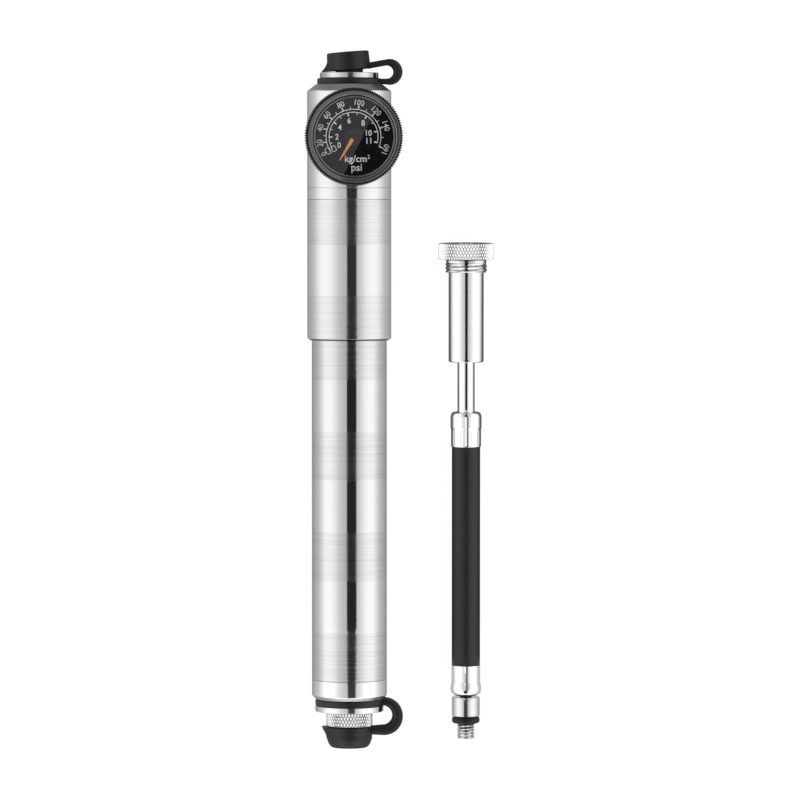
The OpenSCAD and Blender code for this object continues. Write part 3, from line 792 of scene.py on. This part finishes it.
def serration(radius, station, angle):
    """Fine teeth round the bezel's rim."""
    if radius < TOOTH_SKIN:
        return radius, station
    tooth = abs((BEZEL_TEETH * angle / (2 * math.pi)) % 1 - 0.5) * 2
    return radius - TOOTH_DEPTH * smooth_step(tooth, 0.35, 0.85), station


build("bezel", revolved(rounded([
    (15.2, 17.0), (15.6, 17.0), (16.15, 17.5), (16.15, 21.6), (15.85, 22.05), (15.4, 22.25, 0.1),
    (15.2, 22.1), (15.05, 22.4, 0.1), (13.95, 22.4, 0.1), (13.7, 22.1), (13.4, 22.1), (13.28, 22.2, 0.1),
    (12.95, 22.2, 0.1), (12.85, 21.62), (15.2, 21.62)]),
    BEZEL_TEETH * 6, serration),
    GAUGE, "head", "black_metal", nodes=["gauge_bezel"], sharp=math.radians(50),
    zone=lambda radius, station: radius < 15.15 and station > 22.15, zone_look=bezel_face)
build("hub", revolved(rounded([
    (0, 18.7), (2.9, 18.7), (2.9, 19.3, 0.2), (0.6, 19.3), (0.6, 19.62, 0.12), (0, 19.65)]), 64),
    GAUGE, "needle", "dial_face", look=looks["black_metal"], nodes=["needle_hub"])

# Where the needle points at rest, its underside, edge and top, and its half width by the reach
NEEDLE_TURN = math.radians(239)
NEEDLE_LOW, NEEDLE_EDGE, NEEDLE_TOP = 19.3, 19.55, 19.65
NEEDLE_WIDTHS = [(0.8, 0.42), (0.92, 0.58), (1.4, 0.6), (8.6, 0.24), (9.0, 0.18), (9.1, 0.08)]


def needle_solid():
    """A tapering pointer with a rounded tail and softened upper edges."""
    sections = []
    for reach, half in NEEDLE_WIDTHS:
        flat = half * 0.7
        sections.append([(reach, -half, NEEDLE_LOW), (reach, half, NEEDLE_LOW), (reach, half, NEEDLE_EDGE),
                         (reach, flat, NEEDLE_TOP), (reach, -flat, NEEDLE_TOP), (reach, -half, NEEDLE_EDGE)])
    return lofted(sections)


build("pointer", needle_solid(), GAUGE @ Matrix.Rotation(NEEDLE_TURN, 4, "Z"), "needle", "needle_paint",
      nodes=["needle"])


# ---- The dial's print ----

PRINT_Z, PRINT_T = 18.4, 0.03
BOLD, THIN = 0.42, 0.22
# How far numerals are fattened, how wide they are beside the font's, and how tall they are
FATTEN, CONDENSE, NUMERAL = 0.014, 0.92, 1.95
# Arcs: radius, start, end, width. Ticks end at these radii, the bold ones first. Zero boxes: radius,
# angle, length, width
OUTER_ARC, INNER_ARC = 9.05, 8.08
ARCS = [(OUTER_ARC, 212, -21.5, 0.26), (INNER_ARC, 210, -14.5, 0.24)]
PSI_TICKS, KG_TICKS = (10.25, 9.95), (6.95, 7.25)
ZERO_BOXES = [(9.6, 209, 1.5, 2.0), (7.6, 211, 1.3, 1.7)]
PSI_MARKS = {20: 191, 40: 165, 60: 141, 80: 112, 100: 80, 120: 48, 140: 18, 160: -21}
KG_MARKS = {1: 196, 2: 181, 3: 162, 4: 144, 5: 124, 6: 104, 7: 81, 8: 58, 9: 36, 10: 13, 11: -14}
KG_LABELS = {0: 210, 2: 180, 4: 146, 6: 105, 8: 55, 10: 14, 11: -14.5}
PSI_LABEL_R, KG_LABEL_R, KG_WIDE_LABEL_R = 11.35, 5.5, 5.2
# Where the outer scale's 0 stands, and how it and the last numeral are turned
ZERO_AT, ZERO_TURN, LAST_TURN = 210, 120, 70
# The units: words, height, centre, and width where it is given
UNITS = [
    ("kg/cm", 2.0, (0.75, -7.55, 0), 7.2),
    ("2", 1.3, (5.0, -6.6, 0), None),
    ("psi", 2.0, (1.0, -10.5, 0), 3.5),
]


def polar(radius, degrees):
    """A point of the dial's plane."""
    return Vector((radius * math.cos(math.radians(degrees)), radius * math.sin(math.radians(degrees)), 0))


def printed_line(points, width):
    """A printed line of constant width through points in the dial's plane."""
    sections = []
    for index, point in enumerate(points):
        ahead = points[min(index + 1, len(points) - 1)] - points[max(index - 1, 0)]
        side = Vector((-ahead.y, ahead.x, 0)).normalized() * width / 2
        low, high = Vector((0, 0, PRINT_Z)), Vector((0, 0, PRINT_Z + PRINT_T))
        sections.append([point - side + low, point + side + low, point + side + high, point - side + high])
    return lofted(sections)


def printed_arc(radius, start, end, width):
    """A line round the dial between two angles."""
    count = 72
    return printed_line([polar(radius, start + (end - start) * k / count) for k in range(count + 1)], width)


def tick(degrees, start, end, width):
    """A line along the radius."""
    return printed_line([polar(start, degrees), polar(end, degrees)], width)


def printed_box(radius, degrees, long, wide):
    """A printed frame across the scale, its long side along the radius."""
    turn = Matrix.Rotation(math.radians(degrees), 3, "Z")
    corners = [turn @ Vector((x * long / 2, y * wide / 2, 0)) + polar(radius, degrees)
               for x, y in ((-1, -1), (1, -1), (1, 1), (-1, 1))]
    return [printed_line([corners[k], corners[(k + 1) % 4]], 0.2) for k in range(4)]


def lettering(words, height, centre, degrees=0.0, width=None):
    """Flat numerals or units as a mesh, centred on a point of the dial and turned."""
    curve = bpy.data.curves.new("lettering", "FONT")
    curve.body = words
    curve.extrude = PRINT_T / 2 / height
    curve.resolution_u = 3
    curve.offset = FATTEN
    holder = bpy.data.objects.new("lettering", curve)
    mesh = bpy.data.meshes.new_from_object(holder)
    bpy.data.objects.remove(holder)
    bpy.data.curves.remove(curve)
    xs = [vert.co.x for vert in mesh.vertices]
    ys = [vert.co.y for vert in mesh.vertices]
    middle = Vector(((min(xs) + max(xs)) / 2, (min(ys) + max(ys)) / 2, 0))
    scale = width / (max(xs) - min(xs)) if width else height / (max(ys) - min(ys))
    wide = scale if width else scale * CONDENSE
    lift = Vector((0, 0, PRINT_Z + PRINT_T / 2))
    mesh.transform(Matrix.Translation(centre + lift) @ Matrix.Rotation(math.radians(degrees), 4, "Z")
                   @ Matrix.Diagonal((wide, scale, height, 1)) @ Matrix.Translation(-middle))
    return mesh


def dial_lines():
    """The two arcs, their ticks and the two zero boxes."""
    lines = [printed_arc(*arc) for arc in ARCS]
    marks = sorted(PSI_MARKS.values())
    lines += [tick(mark, OUTER_ARC, PSI_TICKS[0], BOLD) for mark in marks]
    lines += [tick((low + high) / 2, OUTER_ARC, PSI_TICKS[1], THIN) for low, high in zip(marks, marks[1:])]
    for value, mark in KG_MARKS.items():
        major = value % 2 == 0 or value == max(KG_MARKS)
        lines.append(tick(mark, INNER_ARC, KG_TICKS[0 if major else 1], BOLD if major else THIN))
    for box in ZERO_BOXES:
        lines += printed_box(*box)
    return lines


def dial_words():
    """The numerals of both scales and their units."""
    words = [lettering("0", NUMERAL, polar(PSI_LABEL_R, ZERO_AT), ZERO_TURN)]
    for value, mark in PSI_MARKS.items():
        turn = LAST_TURN if value == max(PSI_MARKS) else mark - 90
        words.append(lettering(str(value), NUMERAL, polar(PSI_LABEL_R, mark), turn))
    for value, mark in KG_LABELS.items():
        reach = KG_LABEL_R if value < 10 else KG_WIDE_LABEL_R
        words.append(lettering(str(value), NUMERAL, polar(reach, mark)))
    words += [lettering(unit, height, Vector(centre), width=width) for unit, height, centre, width in UNITS]
    return words


def dial_print():
    """All the white print of the dial as one piece."""
    sheet = bmesh.new()
    for verts, faces in dial_lines():
        mesh = bpy.data.meshes.new("line")
        mesh.from_pydata(verts, [], faces)
        sheet.from_mesh(mesh)
        bpy.data.meshes.remove(mesh)
    for mesh in dial_words():
        sheet.from_mesh(mesh)
        bpy.data.meshes.remove(mesh)
    verts = [vert.co.copy() for vert in sheet.verts]
    sheet.verts.index_update()
    faces = [[vert.index for vert in face.verts] for face in sheet.faces]
    sheet.free()
    build("dial_scale", (verts, faces), GAUGE, "head", "dial_print", sharp=math.radians(20))


dial_print()


# ---- Rubber caps, their rings and straps ----

STRAP_HALF, STRAP_CORNER = 2.5, 0.38
# How far the pull tabs reach and flare, and how many degrees from their middle they begin and end
TAB_REACH, TAB_CURL, TAB_SKIN, TAB_SPREAD = 9.4, 1.7, 6.5, (17, 42)
TOP_CAP_BASE, TOP_CAP_TILT, BOTTOM_CAP_BASE = 108.85, 4.6, -109.4
pump_flat = Matrix.Translation(pump_at) @ Matrix.Scale(MM, 4)
TOP_CAP = (pump_flat @ Matrix.Translation((-TAB_REACH, TOP_CAP_BASE, 0))
           @ Matrix.Rotation(math.radians(TOP_CAP_TILT), 4, "Z") @ Matrix.Translation((TAB_REACH, 0, 0))
           @ Matrix.Rotation(math.radians(-90), 4, "X"))
BOTTOM_CAP = PUMP @ Matrix.Translation((0, 0, BOTTOM_CAP_BASE)) @ Matrix.Rotation(math.pi, 4, "X")


def pull_tab(reach, height):
    """The rim flares into a tab on the side away from the strap."""
    def relief(radius, station, angle):
        if radius < TAB_SKIN or station > height:
            return radius, station
        share = 1 - smooth_step(abs(math.degrees(angle) - 180), *TAB_SPREAD)
        return radius + reach * share * max(0.0, 1 - station / height) ** TAB_CURL, station
    return relief


build("top_cover", revolved(rounded([
    (0, 4.6), (6, 4.6, 0.4), (6, 0), (7.1, 0, 0.2), *wall(7.1, 0.5, 3.4, 0.3), (6.95, 6, 0.45), (0, 6)]), 128,
    pull_tab(TAB_REACH - 7.1, 3.4)),
    TOP_CAP, "top_cap", "cap_rubber", nodes=["top_cap"])
build("bottom_cover", revolved(rounded([
    (0, 5.3), (6, 5.3, 0.4), (6, 0), (7.8, 0, 0.3), *wall(7.75, 0.5, 1.8, 0.3), *wall(7.6, 2.1, 3.9, 0.3),
    (7.4, 4.4), (7.1, 5.3), (6.7, 6.1, 0.5), (5.9, 6.9, 0.8), (0, 6.9)]), 128,
    pull_tab(TAB_REACH - 7.85, 4.4)),
    BOTTOM_CAP, "bottom_cap", "cap_rubber", nodes=["bottom_cap"])
build("top_loop_ring", revolved(rounded([
    (8.62, 104.93), (10.65, 104.93, 0.45), (10.65, 106.87, 0.6), (8.62, 106.87)]), 128),
    PUMP, "head", "cap_rubber", nodes=["top_cap_ring"])
build("bottom_loop_ring", revolved(rounded([
    (9.42, -102.28), (11.38, -102.28, 0.5), (11.38, -100.12, 0.5), (9.42, -100.12)]), 128),
    PUMP, "handle", "cap_rubber", nodes=["bottom_cap_ring"])


def band_section(inner, outer, half):
    """The strap's rounded section between an inner and an outer point, half as wide each way."""
    thick = (outer - inner).length
    corner = STRAP_CORNER * thick
    points = []
    for across, up, start in ((1, 1, 0), (-1, 1, 90), (-1, -1, 180), (1, -1, 270)):
        for step in range(4):
            angle = math.radians(start + 30 * step)
            u = thick / 2 + up * (thick / 2 - corner) + corner * math.sin(angle)
            w = across * (half - corner) + corner * math.cos(angle)
            flat = inner + (outer - inner) * (u / thick)
            points.append((flat.x, flat.y, w))
    return points


def strap(lower, bend_in, bend_out, first, last, upper):
    """Sections of a strap: a leg, a bend between two circles (centre x, y, radius), and a leg.
    A leg is a pair of (inner, outer) points, given from its free end."""
    pairs = [lower]
    count = 20
    for step in range(count + 1):
        angle = math.radians(first + (last - first) * step / count)
        way = Vector((math.cos(angle), math.sin(angle)))
        pairs.append((Vector(bend_in[:2]) + way * bend_in[2], Vector(bend_out[:2]) + way * bend_out[2]))
    pairs.append(upper)
    return lofted([band_section(Vector(inner), Vector(outer), STRAP_HALF) for inner, outer in pairs])


top_strap = build("top_strap", strap(
    ((9.9, 106.72), (9.9, 105.05)), (12.46, 108.9, 2.2), (13.48, 108.95, 4.3), -90, 99,
    ((6.3, 110.0), (6.0, 112.0))), pump_flat, None, "cap_rubber", nodes=["top_cap_strap"])
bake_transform(top_strap)
bottom_strap = build("bottom_strap", strap(
    ((10.2, -102.15), (10.2, -100.1)), (11, -105.5, 3.3), (11.6, -105.9, 6.3), 88, -90,
    ((6.6, -109.2), (6.6, -111.9))), pump_flat, None, "cap_rubber", nodes=["bottom_cap_strap"])
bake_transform(bottom_strap)


# ---- Hose ----

HOSE_TOP, HOSE_BOTTOM, HOSE_R, HOSE_BORE = -10.0, -95.5, 4.75, 3.0
STEM_R, CHUCK_R, FITTING_R, SEAL_R, SEAL_WIRE = 2.9, 5.87, 4.75, 3.88, 0.8
CRIMPS, CRIMP_DEPTH = 10, 0.09
# The chuck's diamonds: grooves each way, pitch, depth, where they begin and end, their inner limit
CHUCK_KNURL = (56, 2.1, 0.3, 46.95, 51.85, 9.1)
# Threads: pitch, depth, where they begin and end, their inner limit
CHUCK_THREAD = (1.25, 0.45, 42.3, 45.5, 7.0)
TIP_THREAD = (1.09, 0.4, -114.4, -109.3, 2.9)


def crimped(low, high, skin):
    """Shallow upright press marks round a ferrule."""
    def relief(radius, station, angle):
        if radius < skin or not low <= station <= high:
            return radius, station
        mark = max(0.0, math.cos(CRIMPS * angle)) ** 10
        ends = end_fade(station, low, high, 0.8)
        return radius - CRIMP_DEPTH * mark * ends, station
    return relief


hose = build("rubber_hose", revolved([
    (HOSE_BORE, HOSE_BOTTOM), *wall(HOSE_R, HOSE_BOTTOM, HOSE_TOP, 1.5), (HOSE_BORE, HOSE_TOP)], 96),
    HOSE, "hose", "hose_rubber", nodes=["hose_tube"])
build("upper_crimp", revolved(rounded([
    (4.76, -16), (5.05, -16, 0.15), *wall(5.06, -15.6, -10.3, 0.5), (5.08, -10, 0.15), (5.22, -9.6, 0.3),
    (5.2, -5.7, 0.7), (4.75, -4.55, 0.6), (3.3, -4.3, 0.3), (2.92, -4.3), (2.92, -9.98), (4.76, -9.98)]), 120,
    crimped(-15.8, -10.2, 4.9)),
    HOSE, "hose", "hose_metal", nodes=["upper_ferrule"])
build("lower_crimp", revolved(rounded([
    (1.97, -99.8), (3.6, -99.8, 0.3), (4.85, -99.1, 0.6), (5.3, -97.75, 0.8), (4.95, -95.7, 0.8),
    *wall(4.85, -95.4, -90, 0.5), (4.85, -89.6, 0.15), (4.76, -89.6), (4.76, -95.52), (1.97, -95.52)]), 120),
    HOSE, "hose", "hose_metal", nodes=["lower_ferrule"])
build("stem", revolved(rounded([
    (1.4, -14), (STEM_R, -14), *wall(STEM_R, -13.5, 19.5, 3.0), (STEM_R, 20, 0.2), (1.4, 20)]), 96),
    HOSE, "hose", "hose_metal", nodes=["chuck_stem"])


def chuck_relief(radius, station, angle):
    """The knurled head and the threaded collar."""
    radius, station = knurl(*CHUCK_KNURL)(radius, station, angle)
    return thread(*CHUCK_THREAD)(radius, station, angle)


def chuck_groove(radius, station, angle):
    """Painted shade in the knurl's grooves, the thread's valleys and the corner under the knurl."""
    if station > 46.9:
        return crossing(*CHUCK_KNURL[:2], station, angle) ** 5
    if station > 45.5:
        return smooth_step(station, 46.2, 46.7)
    return 0.6 * (1 - smooth_step(radius, 6.6, 6.75)) * smooth_step(station, 42.2, 42.3)


def tip_groove(radius, station, angle):
    """Painted shade in the thread's valleys."""
    return 1 - smooth_step(radius, 2.6, 2.75) if station < -109.2 else 0


build("chuck_body", revolved([
    (2.96, 12.3), *rounded([(2.96, 12.3), (CHUCK_R, 12.3, 0.55), (CHUCK_R, 40)])[1:-1],
    *wall(CHUCK_R, 14.5, 42.1, 0.6), (CHUCK_R, 42.28), *wall(7.05, 42.3, 45.5, 0.104),
    (6.72, 45.55), (6.75, 46.4), (6.6, 46.8), (9.0, 46.8), *wall(9.25, 46.95, 51.85, 0.175), (9.0, 52),
    (4.6, 52), (3.95, 51.4), (3.95, 40), (4.9, 40), (4.9, 15.7), (2.96, 15.7)], 672, chuck_relief),
    HOSE, "chuck", "hose_metal", look=turned_metal, nodes=["chuck_sleeve"],
    zone=lambda radius, station: radius > 8.7 and station > 46.8, zone_look=looks["knurled_alloy"],
    groove=chuck_groove)
build("tip_body", revolved([
    (1.1, -114.4), (2.3, -114.4), *wall(2.98, -114.3, -109.3, 0.09), (2.5, -109.28), (2.5, -106.9),
    (4.4, -106.9), (FITTING_R, -106.55), *wall(FITTING_R, -106.3, -100.8, 0.25), (4.65, -100.4),
    (4.45, -100.25), (2.0, -100.25), (2.0, -102.9), (3.1, -102.9), (3.1, -104.7), (1.1, -104.7)], 192,
    thread(*TIP_THREAD)),
    HOSE, "tip", "hose_metal", look=satin_metal, nodes=["tip_fitting"], groove=tip_groove)


def seal_edge(degrees):
    """A point of the O-ring's outer side: two quarter rounds with a short flat between them."""
    flat = 0.3 if degrees > 0 else -0.3
    turn = math.radians(degrees)
    return SEAL_R + SEAL_WIRE * math.cos(turn), -108.05 + flat + SEAL_WIRE * math.sin(turn)


build("tip_seal", revolved([
    (2.52, -109.05), *[seal_edge(degrees) for degrees in range(-90, 91, 15)], (2.52, -107.0)], 96),
    HOSE, "tip", "seal_rubber", nodes=["tip_oring"])


# ---- CAD nodes that stay ----

slots = {part["node"]: part["material_slot"] for part in frame["record"]["subparts"]}
# The barb gets the near-black steel, painted shade for its neck between the ferrules.
for node, holder in frame["nodes"].items():
    for index in range(len(holder.material_slots)):
        holder.material_slots[index].material = shaded_barb_steel if node == "tip_barb" else looks[slots[node]]
